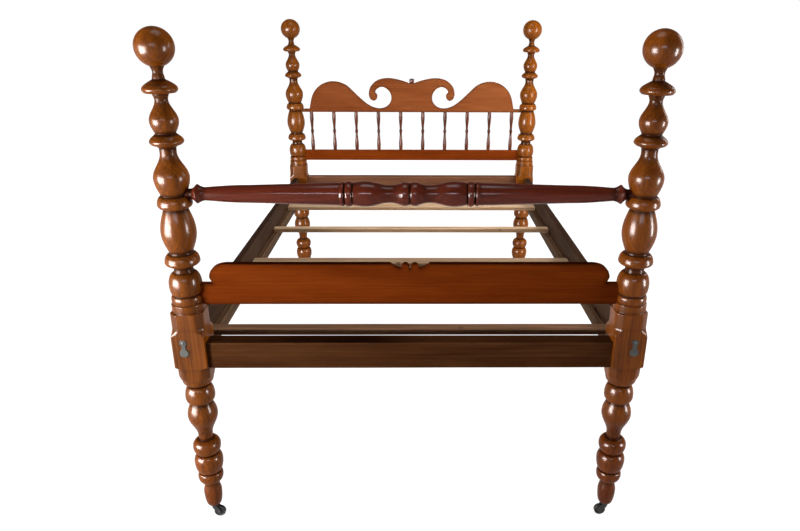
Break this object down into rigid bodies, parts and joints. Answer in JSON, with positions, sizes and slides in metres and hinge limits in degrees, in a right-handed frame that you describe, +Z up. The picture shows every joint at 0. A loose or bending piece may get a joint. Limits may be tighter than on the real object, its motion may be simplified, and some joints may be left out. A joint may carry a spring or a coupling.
{
  "type": "four poster bed",
  "caption": "Four poster bed with turned posts under large balls, scroll-cut headboard over spindles, low footboard, turned blanket roll, bolted rails, slats and casters.",
  "frame": {"origin": "on the floor under the middle of the bed", "axes": "+X to the right seen from the foot, +Y towards the headboard, +Z up"},
  "size_m": [1.407, 2.1052, 1.5465],
  "materials": {
    "post_wood": "old shellac on maple, glossy",
    "rail_wood": "dark brown, worn satin",
    "board_wood": "red-brown shellac, glossy",
    "roll_wood": "dark red-brown shellac, glossy",
    "pine_slat": "bare planed pine",
    "old_slat": "bare aged pine",
    "iron": "dark, worn",
    "steel": "dull",
    "cover_metal": "tarnished grey-green"
  },
  "bodies": {
    "frame": {"foot_post_left": "post_wood", "foot_post_right": "post_wood", "head_post_left": "post_wood", "head_post_right": "post_wood", "foot_rail": "rail_wood", "head_rail": "rail_wood", "side_rail_left": "rail_wood", "side_rail_right": "rail_wood", "ledger_left": "rail_wood", "ledger_right": "rail_wood", "ledger_screws": "steel", "slat_foot_end": "old_slat", "slat_foot": "pine_slat", "slat_middle": "pine_slat", "slat_head": "pine_slat", "footboard": "board_wood", "headboard_lower_rail": "board_wood", "headboard_crest": "board_wood", "crest_peg": "roll_wood", "spindle_1": "board_wood", "spindle_2": "board_wood", "spindle_3": "board_wood", "spindle_4": "board_wood", "spindle_5": "board_wood", "spindle_6": "board_wood", "spindle_7": "board_wood", "spindle_8": "board_wood", "spindle_9": "board_wood", "spindle_10": "board_wood", "bed_bolts": "steel", "bed_nuts": "iron", "cover_pins": "steel", "caster_socket_foot_left": "iron", "caster_socket_foot_right": "iron", "caster_socket_head_left": "iron", "caster_socket_head_right": "iron"},
    "blanket_roll": {"blanket_roll": "roll_wood"},
    "cover_foot_left": {"bolt_cover_foot_left": "cover_metal"},
    "cover_foot_right": {"bolt_cover_foot_right": "cover_metal"},
    "cover_head_left": {"bolt_cover_head_left": "cover_metal"},
    "cover_head_right": {"bolt_cover_head_right": "cover_metal"},
    "caster_foot_left": {"caster_horn_foot_left": "iron", "caster_axle_foot_left": "steel"},
    "wheel_foot_left": {"caster_wheel_foot_left": "iron"},
    "caster_foot_right": {"caster_horn_foot_right": "iron", "caster_axle_foot_right": "steel"},
    "wheel_foot_right": {"caster_wheel_foot_right": "iron"},
    "caster_head_left": {"caster_horn_head_left": "iron", "caster_axle_head_left": "steel"},
    "wheel_head_left": {"caster_wheel_head_left": "iron"},
    "caster_head_right": {"caster_horn_head_right": "iron", "caster_axle_head_right": "steel"},
    "wheel_head_right": {"caster_wheel_head_right": "iron"}
  },
  "joints": [
    {"name": "blanket_roll_turn", "type": "hinge", "parent": "frame", "child": "blanket_roll", "pos_m": [0, -1, 1.11], "axis": [1, 0, 0], "continuous": true},
    {"name": "cover_swing_foot_left", "type": "hinge", "parent": "frame", "child": "cover_foot_left", "pos_m": [-0.6665, -1.0493, 0.671], "axis": [0, 1, 0], "continuous": true},
    {"name": "cover_swing_foot_right", "type": "hinge", "parent": "frame", "child": "cover_foot_right", "pos_m": [0.6665, -1.0493, 0.671], "axis": [0, 1, 0], "continuous": true},
    {"name": "cover_swing_head_left", "type": "hinge", "parent": "frame", "child": "cover_head_left", "pos_m": [-0.6665, 1.0493, 0.671], "axis": [0, 1, 0], "continuous": true},
    {"name": "cover_swing_head_right", "type": "hinge", "parent": "frame", "child": "cover_head_right", "pos_m": [0.6665, 1.0493, 0.671], "axis": [0, 1, 0], "continuous": true},
    {"name": "caster_swivel_foot_left", "type": "hinge", "parent": "frame", "child": "caster_foot_left", "pos_m": [-0.653, -1, 0.05], "axis": [0, 0, 1], "continuous": true},
    {"name": "wheel_roll_foot_left", "type": "hinge", "parent": "caster_foot_left", "child": "wheel_foot_left", "pos_m": [-0.638, -1, 0.0185], "axis": [0, 1, 0], "continuous": true},
    {"name": "caster_swivel_foot_right", "type": "hinge", "parent": "frame", "child": "caster_foot_right", "pos_m": [0.653, -1, 0.05], "axis": [0, 0, 1], "continuous": true},
    {"name": "wheel_roll_foot_right", "type": "hinge", "parent": "caster_foot_right", "child": "wheel_foot_right", "pos_m": [0.638, -1, 0.0185], "axis": [0, 1, 0], "continuous": true},
    {"name": "caster_swivel_head_left", "type": "hinge", "parent": "frame", "child": "caster_head_left", "pos_m": [-0.653, 1, 0.05], "axis": [0, 0, 1], "continuous": true},
    {"name": "wheel_roll_head_left", "type": "hinge", "parent": "caster_head_left", "child": "wheel_head_left", "pos_m": [-0.638, 1, 0.0185], "axis": [0, 1, 0], "continuous": true},
    {"name": "caster_swivel_head_right", "type": "hinge", "parent": "frame", "child": "caster_head_right", "pos_m": [0.653, 1, 0.05], "axis": [0, 0, 1], "continuous": true},
    {"name": "wheel_roll_head_right", "type": "hinge", "parent": "caster_head_right", "child": "wheel_head_right", "pos_m": [0.638, 1, 0.0185], "axis": [0, 1, 0], "continuous": true}
  ]
}
